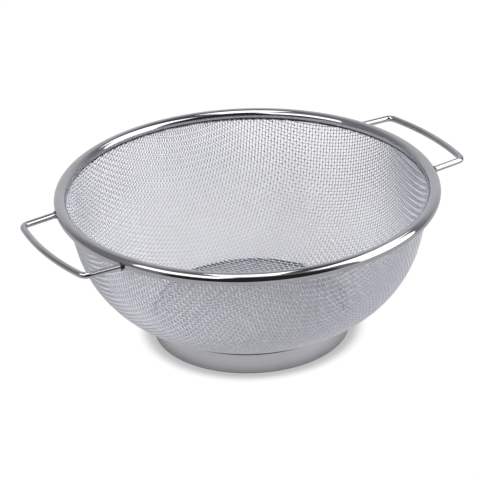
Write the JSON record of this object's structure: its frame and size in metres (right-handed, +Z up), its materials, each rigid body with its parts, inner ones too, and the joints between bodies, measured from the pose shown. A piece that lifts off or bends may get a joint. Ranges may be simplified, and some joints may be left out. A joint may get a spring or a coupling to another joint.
{
  "type": "kitchen basket strainer",
  "caption": "Round woven-wire kitchen strainer bowl with a rolled steel rim, bent-wire side handles and a hoop base ring.",
  "frame": {"origin": "Centre of the base ring's foot, on the surface the strainer stands on.", "axes": "+X through the right-hand handle, +Y across the handles away from the viewer, +Z up along the bowl's axis."},
  "size_m": [0.2856, 0.24, 0.0987],
  "materials": {
    "wire_cloth": "bright drawn stainless wire, plain weave, fine open mesh",
    "rim_steel": "polished stainless strip with faint rolling lines along the rim",
    "base_steel": "satin stainless strip, soft reflections",
    "handle_steel": "polished stainless round wire",
    "weld_steel": "small polished weld beads with a slight heat tint"
  },
  "bodies": {
    "root": {"mesh_bowl": "wire_cloth", "rim_band": "rim_steel", "base_ring": "base_steel", "handle_left": "handle_steel", "handle_right": "handle_steel", "handle_welds": "weld_steel"}
  },
  "joints": []
}
